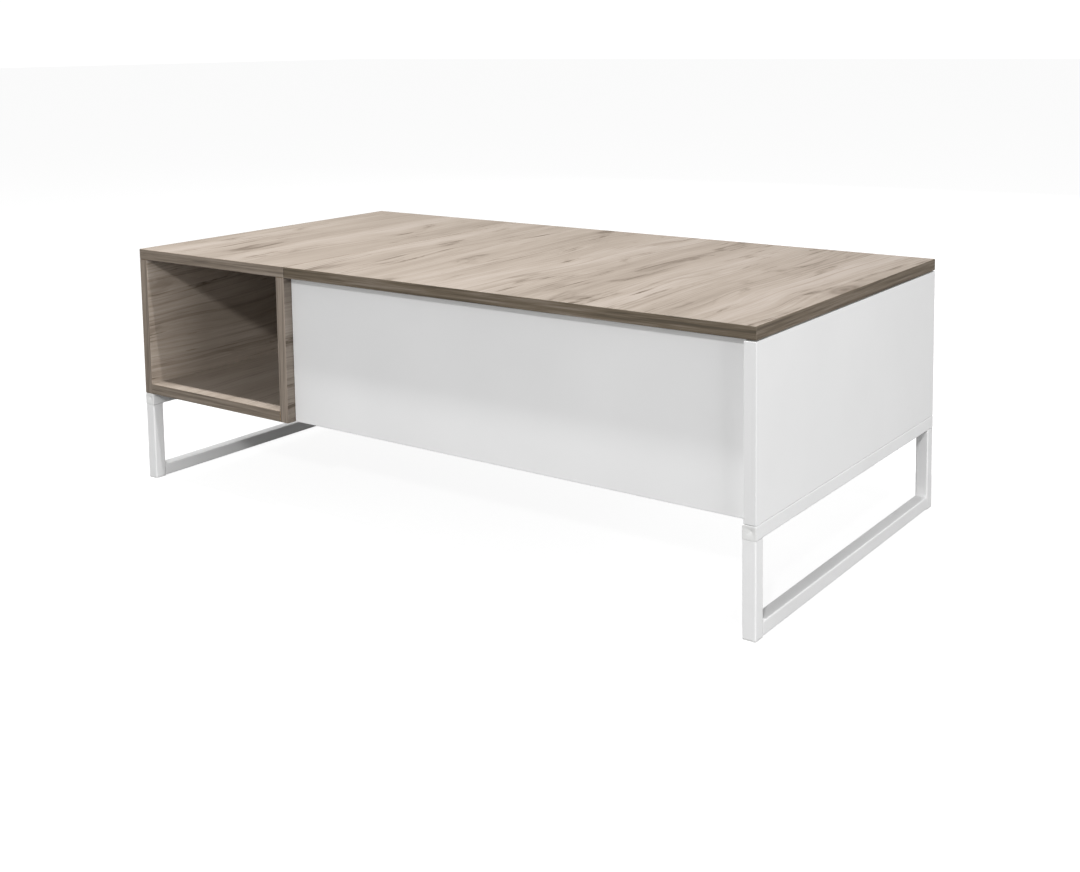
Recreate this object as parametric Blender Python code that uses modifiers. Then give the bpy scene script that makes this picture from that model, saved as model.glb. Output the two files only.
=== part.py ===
"""Lift top coffee table: open cubby at one end, lidded storage at the other, on two sled frames.

Metres, +Z up, front at -Y. The origin is the middle of the footprint, on the floor.
The top board is carried by two side-mounted parallelogram linkages joined by a tie bar.
"""

import math

import bmesh
import bpy
from mathutils import Matrix, Vector, geometry

# Overall
LENGTH = 1.200
DEPTH = 0.600
HEIGHT = 0.405
BOARD = 0.018
GAP = 0.0003

# Sled frames
TUBE = 0.020
TUBE_WALL = 0.0015
TUBE_CORNER = 0.0020
FRAME_TOP = 0.151
FOOT = 0.001
PLUG_DEPTH = 0.010
CAP_HEAD = 0.0015
FRAME_SCREW_R = 0.0019
FRAME_SCREW_HOLE_R = 0.0022
FRAME_SCREW_HEAD = (0.0042, 0.0024)
FRAME_SCREW_REACH = 0.022
FRAME_SCREWS = (("front", -0.245), ("middle", 0.0), ("back", 0.245))

# Carcass
CUBBY_LENGTH = 0.359
TOP_SEAM = 0.0010
PANEL_SEAM = 0.0008
FRONT_RECESS = 0.016
LID_GAP = 0.0016
ROUND = 0.0008

# Linkage, in the Y-Z plane
ARM_LENGTH = 0.220
ARM_REST_DEG = 10.0
PIVOT_STEP = Vector((-0.060, 0.035))
REAR_PIVOT_Y = -0.100
TOP_PIVOT_DROP = 0.060
SPRING_LEVER = 0.030
SPRING_REST_DEG = -137.5
SPRING_ANCHOR_REACH = 0.150

# Linkage, across: distances inward from the side board
PLATE = (0.0003, 0.0033)
FLANGE = (0.0010, 0.0040)
ARM = (0.0055, 0.0095)
SPRING_X = 0.0225
ARM_HALF = 0.012
PIVOT_R = 0.005
PIVOT_HOLE_R = 0.0052
OPEN_PIVOT_HOLE_R = 0.0056
COLLAR_R = 0.0085
HEAD_R = 0.0090
HEAD = 0.0025
SCREW_HOLE_R = 0.0026
TIE_R = 0.006
TIE_AT = 0.60

# Spring
COIL_R = 0.0070
WIRE_R = 0.0011
COIL_TURNS = 24
COIL_SEGMENTS = 10
SHANK = 0.018

LEFT = -LENGTH / 2
RIGHT = LENGTH / 2
FRONT = -DEPTH / 2
BACK = DEPTH / 2
UNDER_TOP = HEIGHT - BOARD
DIVIDER_FACE = LEFT + CUBBY_LENGTH
END_FACE = RIGHT - BOARD
FLOOR_TOP = FRAME_TOP + BOARD

ARM_REST = math.radians(ARM_REST_DEG)
ARM_RUN = Vector((math.cos(ARM_REST), math.sin(ARM_REST))) * ARM_LENGTH
PIVOT_C = Vector((REAR_PIVOT_Y + ARM_RUN.x, UNDER_TOP - TOP_PIVOT_DROP))
PIVOT_A = PIVOT_C - ARM_RUN
PIVOT_B = PIVOT_A + PIVOT_STEP
PIVOT_D = PIVOT_C + PIVOT_STEP
HOOK = PIVOT_A + SPRING_LEVER * Vector(
    (math.cos(math.radians(SPRING_REST_DEG)), math.sin(math.radians(SPRING_REST_DEG)))
)
ANCHOR = Vector((REAR_PIVOT_Y + SPRING_ANCHOR_REACH, HOOK.y))

SIDES = (("left", DIVIDER_FACE, 1.0), ("right", END_FACE, -1.0))


def clear_scene():
    for obj in list(bpy.data.objects):
        bpy.data.objects.remove(obj)


def collection(name, helper=False):
    made = bpy.data.collections.new(name)
    bpy.context.scene.collection.children.link(made)
    made.hide_render = helper
    return made


def material(name, colour, roughness, metallic):
    made = bpy.data.materials.new(name)
    made.use_nodes = True
    shader = made.node_tree.nodes["Principled BSDF"]
    shader.inputs["Base Color"].default_value = (*colour, 1.0)
    shader.inputs["Roughness"].default_value = roughness
    shader.inputs["Metallic"].default_value = metallic
    made.diffuse_color = (*colour, 1.0)
    return made


FINISHES = {
    "oak": ((0.33, 0.27, 0.22), 0.45, 0.0),
    "white_board": ((0.80, 0.80, 0.80), 0.40, 0.0),
    "powder": ((0.82, 0.82, 0.82), 0.35, 0.0),
    "white_plastic": ((0.78, 0.78, 0.78), 0.45, 0.0),
    "black_steel": ((0.03, 0.03, 0.03), 0.40, 0.6),
    "zinc": ((0.62, 0.63, 0.65), 0.30, 1.0),
    "clear_plastic": ((0.75, 0.76, 0.76), 0.30, 0.0),
}


def add_object(name, mesh, finish, origin=(0.0, 0.0, 0.0)):
    """Links a mesh given in table coordinates, with its origin moved to the point given."""
    mesh.transform(Matrix.Translation(-Vector(origin)))
    mesh.name = name
    made = bpy.data.objects.new(name, mesh)
    made.location = origin
    mesh.materials.clear()
    mesh.materials.append(material("finish_" + name, *FINISHES[finish]))
    TABLE.objects.link(made)
    return made


def add_cutter(name, mesh):
    made = bpy.data.objects.new(name, mesh)
    made.hide_render = True
    made.display_type = "WIRE"
    CUTTERS.objects.link(made)
    return made


def subtract(target, cutter):
    boolean = target.modifiers.new("cut_" + cutter.name, "BOOLEAN")
    boolean.operation = "DIFFERENCE"
    boolean.solver = "EXACT"
    boolean.object = cutter


def box_mesh(low, high):
    low, high = Vector(low), Vector(high)
    shape = bmesh.new()
    bmesh.ops.create_cube(shape, size=1.0)
    for vert in shape.verts:
        vert.co = Vector((low[i] + (vert.co[i] + 0.5) * (high[i] - low[i]) for i in range(3)))
    mesh = bpy.data.meshes.new("box")
    shape.to_mesh(mesh)
    shape.free()
    return mesh


def board(name, low, high, finish):
    """A panel with slightly rounded edges."""
    made = add_object(name, box_mesh(low, high), finish)
    bevel = made.modifiers.new("edge_round", "BEVEL")
    bevel.width = ROUND
    bevel.segments = 1
    bevel.limit_method = "ANGLE"
    return made


def turned(name, profile, finish, origin, axis="X", flip=1.0, steps=24):
    """A solid of revolution. The profile lists (distance along the axis, radius)."""
    mesh = bpy.data.meshes.new(name)
    count = len(profile)
    mesh.from_pydata(
        [(radius, 0.0, -along) for along, radius in profile],
        [(i, i + 1) for i in range(count - 1)],
        [],
    )
    made = add_object(name, mesh, finish)
    screw = made.modifiers.new("turn", "SCREW")
    screw.axis = "Z"
    screw.steps = steps
    screw.render_steps = steps
    screw.use_merge_vertices = True
    screw.merge_threshold = 0.0001
    turn = Matrix.Rotation(-math.pi / 2 * flip, 4, "Y") if axis == "X" else Matrix.Identity(4)
    made.matrix_world = Matrix.Translation(Vector(origin)) @ turn
    return made


def circle_points(centre, radius, count):
    step = 2 * math.pi / count
    return [
        (centre[0] + radius * math.cos(step * i), centre[1] + radius * math.sin(step * i))
        for i in range(count)
    ]


def arc_points(centre, radius, start, end, count):
    angles = [start + (end - start) * i / count for i in range(count + 1)]
    return [Vector(centre) + radius * Vector((math.cos(turn), math.sin(turn))) for turn in angles]


def strip_outline(points, half, end_segments=8):
    """Outline of a strip of constant width along a polyline, with round ends."""
    points = [Vector(p) for p in points]
    heads = [(b - a).normalized() for a, b in zip(points, points[1:])]
    sides = [[], []]
    for i in range(1, len(points) - 1):
        for side, rail in ((1, sides[0]), (-1, sides[1])):
            n0 = Vector((-heads[i - 1].y, heads[i - 1].x)) * half * side
            n1 = Vector((-heads[i].y, heads[i].x)) * half * side
            corner = geometry.intersect_line_line_2d(
                points[i] + n0 - heads[i - 1], points[i] + n0 + heads[i - 1],
                points[i] + n1 - heads[i], points[i] + n1 + heads[i],
            )
            rail.append(corner)
    first = math.atan2(heads[0].y, heads[0].x)
    last = math.atan2(heads[-1].y, heads[-1].x)
    start = arc_points(points[0], half, first + math.pi / 2, first + 3 * math.pi / 2, end_segments)
    end = arc_points(points[-1], half, last - math.pi / 2, last + math.pi / 2, end_segments)
    return start + sides[1] + end + sides[0][::-1]


def round_polygon(corners, radius, segments=4):
    """A counter-clockwise polygon with its corners rounded."""
    out = []
    count = len(corners)
    for i in range(count):
        corner = Vector(corners[i])
        to_last = (Vector(corners[i - 1]) - corner).normalized()
        to_next = (Vector(corners[(i + 1) % count]) - corner).normalized()
        angle = to_last.angle(to_next)
        back = radius / math.tan(angle / 2)
        centre = corner + (to_last + to_next).normalized() * radius / math.sin(angle / 2)
        start = (corner + to_last * back) - centre
        sweep = math.pi - angle
        first = math.atan2(start.y, start.x)
        out += arc_points(centre, radius, first, first + sweep, segments)
    return out


def flat_mesh(outline, holes, across):
    """A flat plate in a Y-Z plane, cut out with round holes. The span across is in X."""
    curve = bpy.data.curves.new("outline", "CURVE")
    curve.dimensions = "2D"
    curve.fill_mode = "BOTH"
    curve.extrude = abs(across[1] - across[0]) / 2
    for ring in [outline] + [circle_points(centre, radius, 24) for centre, radius in holes]:
        spline = curve.splines.new("POLY")
        spline.points.add(len(ring) - 1)
        spline.use_cyclic_u = True
        for point, place in zip(spline.points, ring):
            point.co = (place[0], place[1], 0.0, 1.0)
    holder = bpy.data.objects.new("outline", curve)
    bpy.context.scene.collection.objects.link(holder)
    bpy.context.view_layer.update()
    mesh = bpy.data.meshes.new_from_object(holder)
    bpy.data.objects.remove(holder)
    shape = bmesh.new()
    shape.from_mesh(mesh)
    bmesh.ops.remove_doubles(shape, verts=shape.verts, dist=1e-6)
    middle = (across[0] + across[1]) / 2
    for vert in shape.verts:
        y, z, x = vert.co
        vert.co = (x + middle, y, z)
    shape.to_mesh(mesh)
    shape.free()
    return mesh


def joined_mesh(meshes):
    """One closed body out of overlapping closed meshes."""
    holders = []
    for mesh in meshes:
        made = bpy.data.objects.new("piece", mesh)
        bpy.context.scene.collection.objects.link(made)
        holders.append(made)
    for other in holders[1:]:
        union = holders[0].modifiers.new("join", "BOOLEAN")
        union.operation = "UNION"
        union.solver = "EXACT"
        union.object = other
    graph = bpy.context.evaluated_depsgraph_get()
    mesh = bpy.data.meshes.new_from_object(holders[0].evaluated_get(graph))
    for made in holders:
        bpy.data.objects.remove(made)
    return mesh


def rod_mesh(start, end, radius, sides=24):
    """A round bar between two points."""
    start, end = Vector(start), Vector(end)
    run = end - start
    shape = bmesh.new()
    bmesh.ops.create_cone(
        shape, cap_ends=True, segments=sides, radius1=radius, radius2=radius, depth=run.length
    )
    turn = Vector((0.0, 0.0, 1.0)).rotation_difference(run).to_matrix().to_4x4()
    bmesh.ops.transform(shape, matrix=Matrix.Translation((start + end) / 2) @ turn, verts=shape.verts)
    mesh = bpy.data.meshes.new("rod")
    shape.to_mesh(mesh)
    shape.free()
    return mesh


def square_ring(half, radius, segments=3):
    corners = [(-half, -half), (half, -half), (half, half), (-half, half)]
    return round_polygon(corners, radius, segments)


def square_tube(name, start, end):
    """A square tube along Y or Z, open at both ends."""
    start, end = Vector(start), Vector(end)
    run = end - start
    outer = square_ring(TUBE / 2, TUBE_CORNER)
    inner = square_ring(TUBE / 2 - TUBE_WALL, TUBE_CORNER - TUBE_WALL + 0.0002)
    shape = bmesh.new()
    rings = []
    for ring in (outer, inner):
        for along in (0.0, run.length):
            rings.append([shape.verts.new((u, v, along)) for u, v in ring])
    count = len(outer)
    for i in range(count):
        j = (i + 1) % count
        shape.faces.new((rings[0][i], rings[0][j], rings[1][j], rings[1][i]))
        shape.faces.new((rings[2][j], rings[2][i], rings[3][i], rings[3][j]))
        shape.faces.new((rings[0][j], rings[0][i], rings[2][i], rings[2][j]))
        shape.faces.new((rings[1][i], rings[1][j], rings[3][j], rings[3][i]))
    turn = Matrix.Rotation(-math.pi / 2, 4, "X") if abs(run.y) > 0 else Matrix.Identity(4)
    bmesh.ops.transform(shape, matrix=Matrix.Translation(start) @ turn, verts=shape.verts)
    bmesh.ops.recalc_face_normals(shape, faces=shape.faces)
    mesh = bpy.data.meshes.new(name)
    shape.to_mesh(mesh)
    shape.free()
    return add_object(name, mesh, "powder")


def square_plug(name, face, inward, head, finish):
    """A plug for a tube end: a head as wide as the tube outside it and a smaller body inside."""
    face, inward = Vector(face), Vector(inward)
    shape = bmesh.new()
    sections = (
        (0.0, TUBE / 2 - 0.0006),
        (0.0006, TUBE / 2),
        (head, TUBE / 2),
        (head, TUBE / 2 - TUBE_WALL - GAP),
        (head + PLUG_DEPTH, TUBE / 2 - TUBE_WALL - GAP - 0.0005),
    )
    rings = [
        [shape.verts.new((u, v, along)) for u, v in square_ring(half, TUBE_CORNER)]
        for along, half in sections
    ]
    count = len(rings[0])
    for near, far in zip(rings, rings[1:]):
        for i in range(count):
            j = (i + 1) % count
            shape.faces.new((near[i], near[j], far[j], far[i]))
    shape.faces.new(rings[0][::-1])
    shape.faces.new(rings[-1])
    turn = Vector((0.0, 0.0, 1.0)).rotation_difference(inward).to_matrix().to_4x4()
    bmesh.ops.transform(shape, matrix=Matrix.Translation(face) @ turn, verts=shape.verts)
    bmesh.ops.recalc_face_normals(shape, faces=shape.faces)
    mesh = bpy.data.meshes.new(name)
    shape.to_mesh(mesh)
    shape.free()
    return add_object(name, mesh, finish)


def build_carcass():
    inner_left = LEFT + BOARD
    divider_left = DIVIDER_FACE - BOARD
    below_top = UNDER_TOP - GAP
    board("cubby_top", (LEFT, FRONT, UNDER_TOP), (DIVIDER_FACE, BACK, HEIGHT), "oak")
    left_side = board("cubby_left_side", (LEFT, FRONT, FRAME_TOP), (inner_left, BACK, below_top), "oak")
    board("cubby_right_side", (divider_left, FRONT, FRAME_TOP), (DIVIDER_FACE, BACK, below_top), "oak")
    board(
        "cubby_bottom",
        (inner_left + GAP, FRONT, FRAME_TOP), (divider_left - GAP, BACK - BOARD - GAP, FLOOR_TOP),
        "oak",
    )
    board(
        "cubby_back",
        (inner_left + GAP, BACK - BOARD, FRAME_TOP), (divider_left - GAP, BACK, below_top),
        "oak",
    )
    lid_under = UNDER_TOP - LID_GAP
    end_panel = board("end_panel", (END_FACE, FRONT, FRAME_TOP), (RIGHT, BACK, lid_under), "white_board")
    panel_front = FRONT + FRONT_RECESS
    left, right = DIVIDER_FACE + PANEL_SEAM, END_FACE - GAP
    board(
        "front_panel",
        (left, panel_front, FRAME_TOP), (right, panel_front + BOARD, lid_under),
        "white_board",
    )
    board("back_panel", (left, BACK - BOARD, FRAME_TOP), (right, BACK, lid_under), "white_board")
    board(
        "storage_floor",
        (left, panel_front + BOARD + GAP, FRAME_TOP), (right, BACK - BOARD - GAP, FLOOR_TOP),
        "white_board",
    )
    return {"left": left_side, "right": end_panel}


def frame_screw(name, seat, targets):
    """A pan-head screw driven up through a rail into the panel above, with its holes drilled."""
    x, y, z = seat
    head_r, head = FRAME_SCREW_HEAD
    tip = z + FRAME_SCREW_REACH + TUBE
    hole = rod_mesh((x, y, z - 0.002), (x, y, tip + 0.003), FRAME_SCREW_HOLE_R, 12)
    cutter = add_cutter("drill_" + name, hole)
    for target in targets:
        subtract(target, cutter)
    profile = [
        (0.0, 0.0), (0.003, FRAME_SCREW_R), (tip - z, FRAME_SCREW_R), (tip - z, head_r),
        (tip - z + 0.0012, head_r), (tip - z + head, head_r - 0.0016), (tip - z + head, 0.0),
    ]
    turned(name, profile, "zinc", (x, y, tip), axis="Z", steps=16)


def build_frames(panels):
    rail_z = FRAME_TOP - GAP - TUBE / 2
    leg_top = FRAME_TOP - 2 * GAP - TUBE
    for side, x in (("left", LEFT + TUBE / 2), ("right", RIGHT - TUBE / 2)):
        front, back = FRONT + TUBE / 2, BACK - TUBE / 2
        rail_end = BACK - CAP_HEAD - GAP
        rail = square_tube(f"{side}_top_rail", (x, -rail_end, rail_z), (x, rail_end, rail_z))
        square_plug(f"{side}_rail_cap_front", (x, FRONT, rail_z), (0, 1, 0), CAP_HEAD, "white_plastic")
        square_plug(f"{side}_rail_cap_back", (x, BACK, rail_z), (0, -1, 0), CAP_HEAD, "white_plastic")
        for end, y in FRAME_SCREWS:
            seat = (x, y, rail_z - TUBE / 2 - GAP)
            frame_screw(f"{side}_frame_screw_{end}", seat, (rail, panels[side]))
        foot_head = FOOT + 0.0005
        for end, y in (("front", front), ("back", back)):
            square_tube(f"{side}_{end}_leg", (x, y, foot_head + GAP), (x, y, leg_top))
            square_plug(f"{side}_{end}_foot", (x, y, 0.0), (0, 0, 1), foot_head, "white_plastic")
        low_z = FOOT + TUBE / 2
        reach = TUBE / 2 + GAP
        square_tube(f"{side}_bottom_rail", (x, front + reach, low_z), (x, back - reach, low_z))


def spring_mesh(x, start, end):
    """An extension spring along Y: a close coil between two straight hook shanks."""
    coil_start = start + SHANK
    coil_end = end - SHANK
    path = [Vector((x, start, HOOK.y)), Vector((x, coil_start - 0.004, HOOK.y))]
    steps = COIL_TURNS * COIL_SEGMENTS
    for i in range(steps + 1):
        angle = 2 * math.pi * i / COIL_SEGMENTS
        along = coil_start + (coil_end - coil_start) * i / steps
        path.append(Vector((x + COIL_R * math.cos(angle), along, HOOK.y + COIL_R * math.sin(angle))))
    path += [Vector((x, coil_end + 0.004, HOOK.y)), Vector((x, end, HOOK.y))]
    curve = bpy.data.curves.new("spring", "CURVE")
    curve.dimensions = "3D"
    curve.bevel_depth = WIRE_R
    curve.bevel_resolution = 0
    curve.use_fill_caps = True
    spline = curve.splines.new("POLY")
    spline.points.add(len(path) - 1)
    for point, place in zip(spline.points, path):
        point.co = (*place, 1.0)
    holder = bpy.data.objects.new("spring", curve)
    bpy.context.scene.collection.objects.link(holder)
    bpy.context.view_layer.update()
    mesh = bpy.data.meshes.new_from_object(holder)
    bpy.data.objects.remove(holder)
    shape = bmesh.new()
    shape.from_mesh(mesh)
    bmesh.ops.remove_doubles(shape, verts=shape.verts, dist=1e-6)
    shape.to_mesh(mesh)
    shape.free()
    return mesh


def build_linkage(side, wall, inward):
    """One side's linkage. The wall is the board's face, and inward is +1 or -1 along X."""

    def span(pair):
        ends = (wall + inward * pair[0], wall + inward * pair[1])
        return (min(ends), max(ends))

    def at(point, away=0.0):
        return (wall + inward * away, point.x, point.y)

    base_corners = [
        (-0.186, 0.254), (0.064, 0.254), (0.064, 0.282),
        (-0.074, 0.311), (-0.142, 0.345), (-0.186, 0.345),
    ]
    base_screws = [(-0.174, 0.266), (-0.132, 0.266), (-0.030, 0.266), (0.022, 0.266)]
    base_holes = [(PIVOT_A, PIVOT_HOLE_R), (PIVOT_B, PIVOT_HOLE_R)]
    base_holes += [(place, SCREW_HOLE_R) for place in base_screws]
    base = flat_mesh(round_polygon(base_corners, 0.007), base_holes, span(PLATE))
    stud = rod_mesh(at(ANCHOR, PLATE[0] + 0.001), at(ANCHOR, SPRING_X - WIRE_R - GAP), 0.004, 16)
    add_object(f"{side}_base_plate", joined_mesh([base, stud]), "black_steel")

    lid_under = UNDER_TOP - GAP
    flange_z = PIVOT_C.y - 0.013
    flange_corners = [
        (PIVOT_D.x - 0.020, lid_under), (PIVOT_D.x - 0.016, PIVOT_D.y - 0.014),
        (PIVOT_C.x - 0.020, flange_z), (PIVOT_C.x + 0.013, flange_z), (PIVOT_C.x + 0.075, lid_under),
    ]
    flange = flat_mesh(
        flange_corners, [(PIVOT_C, PIVOT_HOLE_R), (PIVOT_D, PIVOT_HOLE_R)], span(FLANGE)
    )
    shelf_x = span((FLANGE[0], 0.032))
    shelf = box_mesh(
        (shelf_x[0], PIVOT_D.x - 0.070, lid_under - 0.003), (shelf_x[1], PIVOT_C.x + 0.105, lid_under)
    )
    lid_origin = (0.0, PIVOT_C.x, PIVOT_C.y)
    bracket = joined_mesh([shelf, flange])
    top_bracket = add_object(f"{side}_top_bracket", bracket, "black_steel", lid_origin)
    for i, y in enumerate((PIVOT_D.x - 0.055, PIVOT_D.x + 0.035, PIVOT_C.x + 0.088)):
        x = wall + inward * 0.0215
        hole = rod_mesh((x, y, lid_under - 0.02), (x, y, lid_under + 0.02), SCREW_HOLE_R, 16)
        hole.transform(Matrix.Translation(-Vector(lid_origin)))
        cutter = add_cutter(f"{side}_bracket_hole_{i}", hole)
        cutter.location = lid_origin
        subtract(top_bracket, cutter)

    arm_origin = (0.0, PIVOT_A.x, PIVOT_A.y)
    main = flat_mesh(
        strip_outline([HOOK, PIVOT_A, PIVOT_C], ARM_HALF),
        [(PIVOT_A, PIVOT_HOLE_R), (PIVOT_C, PIVOT_HOLE_R)],
        span(ARM),
    )
    hook = rod_mesh(at(HOOK, ARM[0] + 0.001), at(HOOK, SPRING_X - WIRE_R - GAP), 0.004, 16)
    add_object(f"{side}_main_arm", joined_mesh([main, hook]), "black_steel", arm_origin)
    front = flat_mesh(
        strip_outline([PIVOT_B, PIVOT_D], ARM_HALF),
        [(PIVOT_B, PIVOT_HOLE_R), (PIVOT_D, OPEN_PIVOT_HOLE_R)],
        span(ARM),
    )
    add_object(f"{side}_front_arm", front, "black_steel", (0.0, PIVOT_B.x, PIVOT_B.y))

    for name, point, plate in (
        ("rear_lower", PIVOT_A, PLATE), ("front_lower", PIVOT_B, PLATE),
        ("rear_upper", PIVOT_C, FLANGE), ("front_upper", PIVOT_D, FLANGE),
    ):
        collar = (plate[1] + GAP, ARM[0] - GAP)
        head = (ARM[1] + GAP, ARM[1] + GAP + HEAD)
        profile = [
            (plate[0], 0.0), (plate[0], PIVOT_R), (collar[0], PIVOT_R), (collar[0], COLLAR_R),
            (collar[1], COLLAR_R), (collar[1], PIVOT_R), (head[0], PIVOT_R), (head[0], HEAD_R),
            (head[1] - 0.0008, HEAD_R), (head[1], HEAD_R - 0.0012), (head[1], 0.0),
        ]
        turned(f"{side}_{name}_pin", profile, "zinc", at(point), flip=inward)

    spring_x = wall + inward * SPRING_X
    spring = spring_mesh(spring_x, HOOK.x, ANCHOR.x)
    add_object(f"{side}_spring", spring, "zinc", (spring_x, ANCHOR.x, ANCHOR.y))


def build_lid():
    lid = board(
        "lift_top",
        (DIVIDER_FACE + TOP_SEAM, FRONT, UNDER_TOP), (RIGHT, BACK, HEIGHT),
        "oak",
    )
    origin = Vector((0.0, PIVOT_C.x, PIVOT_C.y))
    lid.data.transform(Matrix.Translation(-origin))
    lid.location = origin
    place = PIVOT_A + ARM_RUN * TIE_AT
    ends = [wall + inward * (ARM[1] + GAP) for _, wall, inward in SIDES]
    bar = rod_mesh((ends[0], place.x, place.y), (ends[1], place.x, place.y), TIE_R, 20)
    add_object("tie_bar", bar, "black_steel", (0.0, PIVOT_A.x, PIVOT_A.y))
    foot = LID_GAP - GAP
    profile = [(GAP, 0.0), (GAP, 0.0040), (GAP + 0.0006, 0.0045), (foot, 0.0045), (foot, 0.0)]
    panel_mid = FRONT + FRONT_RECESS + BOARD / 2
    places = {
        "bumper_front_left": (DIVIDER_FACE + 0.030, panel_mid),
        "bumper_front_right": (END_FACE - 0.030, panel_mid),
        "bumper_back_left": (DIVIDER_FACE + 0.030, BACK - BOARD / 2),
        "bumper_back_right": (END_FACE - 0.030, BACK - BOARD / 2),
    }
    for name, (x, y) in places.items():
        turned(name, profile, "clear_plastic", (x, y, UNDER_TOP), axis="Z", steps=20)


clear_scene()
TABLE = collection("lift_top_coffee_table")
CUTTERS = collection("cutters", helper=True)
build_frames(build_carcass())
for side_name, wall_x, inward_x in SIDES:
    build_linkage(side_name, wall_x, inward_x)
build_lid()
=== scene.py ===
"""Lift-top coffee table: the detailed model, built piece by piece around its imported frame."""

import math

import bmesh
import bpy
from bpy.props import FloatProperty, FloatVectorProperty, IntProperty, PointerProperty
from mathutils import Matrix, Vector


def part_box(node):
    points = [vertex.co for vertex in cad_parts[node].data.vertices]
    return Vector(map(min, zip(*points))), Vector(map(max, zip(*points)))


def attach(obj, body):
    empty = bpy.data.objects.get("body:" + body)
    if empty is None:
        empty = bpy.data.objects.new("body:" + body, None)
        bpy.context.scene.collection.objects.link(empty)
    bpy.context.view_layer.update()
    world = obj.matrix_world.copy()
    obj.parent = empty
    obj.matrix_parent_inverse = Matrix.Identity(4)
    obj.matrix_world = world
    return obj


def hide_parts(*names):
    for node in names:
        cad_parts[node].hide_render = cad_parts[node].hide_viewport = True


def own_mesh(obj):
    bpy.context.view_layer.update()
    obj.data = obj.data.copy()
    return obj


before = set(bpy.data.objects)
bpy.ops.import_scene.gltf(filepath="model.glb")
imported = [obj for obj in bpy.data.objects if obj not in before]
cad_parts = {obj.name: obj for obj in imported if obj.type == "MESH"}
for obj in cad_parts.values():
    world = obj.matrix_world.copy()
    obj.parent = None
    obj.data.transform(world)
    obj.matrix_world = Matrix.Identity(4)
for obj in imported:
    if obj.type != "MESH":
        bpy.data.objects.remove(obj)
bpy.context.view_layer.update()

bl_info = {
    "name": "Lift-top coffee table",
    "version": (1, 0, 0),
    "blender": (4, 5, 0),
    "location": "3D View > Sidebar > Coffee Table",
    "description": "Builds the boards, sled frames, lift mechanism and studio of a lift-top table",
    "category": "Object",
}

X, Y, Z = 0, 1, 2
SIDES = ("left", "right")
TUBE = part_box("left_front_leg")[1].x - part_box("left_front_leg")[0].x
TUBE_WALL = 0.0015

# The inner faces that carry the lift mechanism, and the way each one faces.
WALLS = {
    "left": (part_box("cubby_right_side")[1].x, 1.0),
    "right": (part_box("end_panel")[0].x, -1.0),
}

# Screw places on a base plate (Y, Z) and along a lid bracket (Y), and how far the plate's face
# and the bracket's screw line stand off the wall.
PLATE_SCREWS = ((-0.174, 0.266), (-0.132, 0.266), (-0.030, 0.266), (0.022, 0.266))
PLATE_SURFACE = 0.0033
BRACKET_SCREWS = (0.0016577, 0.0916577, 0.2046577)
BRACKET_SCREW_REACH = 0.0215
BRACKET_THICKNESS = 0.003

# How far a spring's end eye lies from the coil's axis towards the wall, and its inner radius.
EYE_OFFSET = 0.0040
EYE_CLEARANCE = 0.0042


def linear(code):
    """An sRGB hex colour as linear values."""
    parts = [int(code[i : i + 2], 16) / 255 for i in (0, 2, 4)]
    parts = [c / 12.92 if c <= 0.04045 else ((c + 0.055) / 1.055) ** 2.4 for c in parts]
    return (*parts, 1.0)


def colour_choice(name, description, code):
    """A colour that a user may change, given as sRGB hex."""
    return FloatVectorProperty(
        name=name, description=description, default=linear(code), size=4, subtype="COLOR"
    )


def length_choice(name, description, metres, low, high):
    """A length that a user may change."""
    return FloatProperty(
        name=name, description=description, default=metres, min=low, max=high, unit="LENGTH"
    )


def power_choice(name, description, watts):
    """A light's power that a user may change."""
    return FloatProperty(
        name=name, description=description, default=watts, min=0.0, unit="POWER"
    )


class BoardSettings(bpy.types.PropertyGroup):
    """Sizes and colours of the boards."""

    edge_round: length_choice(
        "Edge rounding", "Radius of the edge banding's corners", 0.0010, 0.0002, 0.003
    )
    oak_dark: colour_choice("Oak, darkest", "Cracks and knots in the printed oak", "62564A")
    oak_mid: colour_choice("Oak, middle", "Body colour of the printed oak", "94897E")
    oak_light: colour_choice("Oak, lightest", "Pale ribbons in the printed oak", "A79D95")
    band_mid: colour_choice("Oak edging", "Body colour of the oak edge banding", "64594A")
    band_pale: colour_choice(
        "Oak edging, pale", "Body colour of the paler roll of edge banding", "8C8074"
    )
    white: colour_choice("White board", "White melamine face", "E8E8E8")


class FrameSettings(bpy.types.PropertyGroup):
    """Sizes and colours of the sled frames."""

    corner_round: length_choice(
        "Tube corner", "Outer corner radius of the square tube", 0.0020, 0.0016, 0.004
    )
    bead: length_choice(
        "Weld bead", "Half width of the weld bead in the inner corners", 0.0011, 0.0004, 0.003
    )
    coat: colour_choice("Powder coat", "Colour of the coated tube", "EAEAEA")


class HardwareSettings(bpy.types.PropertyGroup):
    """Sizes of the lift mechanism's small parts."""

    edge_break: length_choice(
        "Edge break", "Rounding left on pressed steel by tumbling", 0.0004, 0.0001, 0.001
    )
    wire: length_choice("Spring wire", "Radius of the spring wire", 0.0011, 0.0005, 0.002)
    coil: length_choice(
        "Spring coil", "Radius of the coil at the middle of the wire", 0.0070, 0.003, 0.012
    )
    turns: IntProperty(
        name="Coil turns", description="Turns in each assist spring", default=38, min=8, max=60,
    )


class StageSettings(bpy.types.PropertyGroup):
    """Light levels of the studio."""

    overhead: power_choice("Overhead strip", "Power of the strip softbox overhead", 94.0)
    front: power_choice("Front light", "Power of the small softbox in front", 148.0)
    side: power_choice("Side fill", "Power of the large softbox on the right", 80.0)
    fill: power_choice("Front fill", "Power of the large, dim softbox in front", 33.0)
    back: power_choice("Back fill", "Power of the large, dim softbox behind", 75.0)
    ambient: FloatProperty(
        name="Ambient", description="Brightness of the white surroundings", default=0.3, min=0.0,
    )


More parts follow.
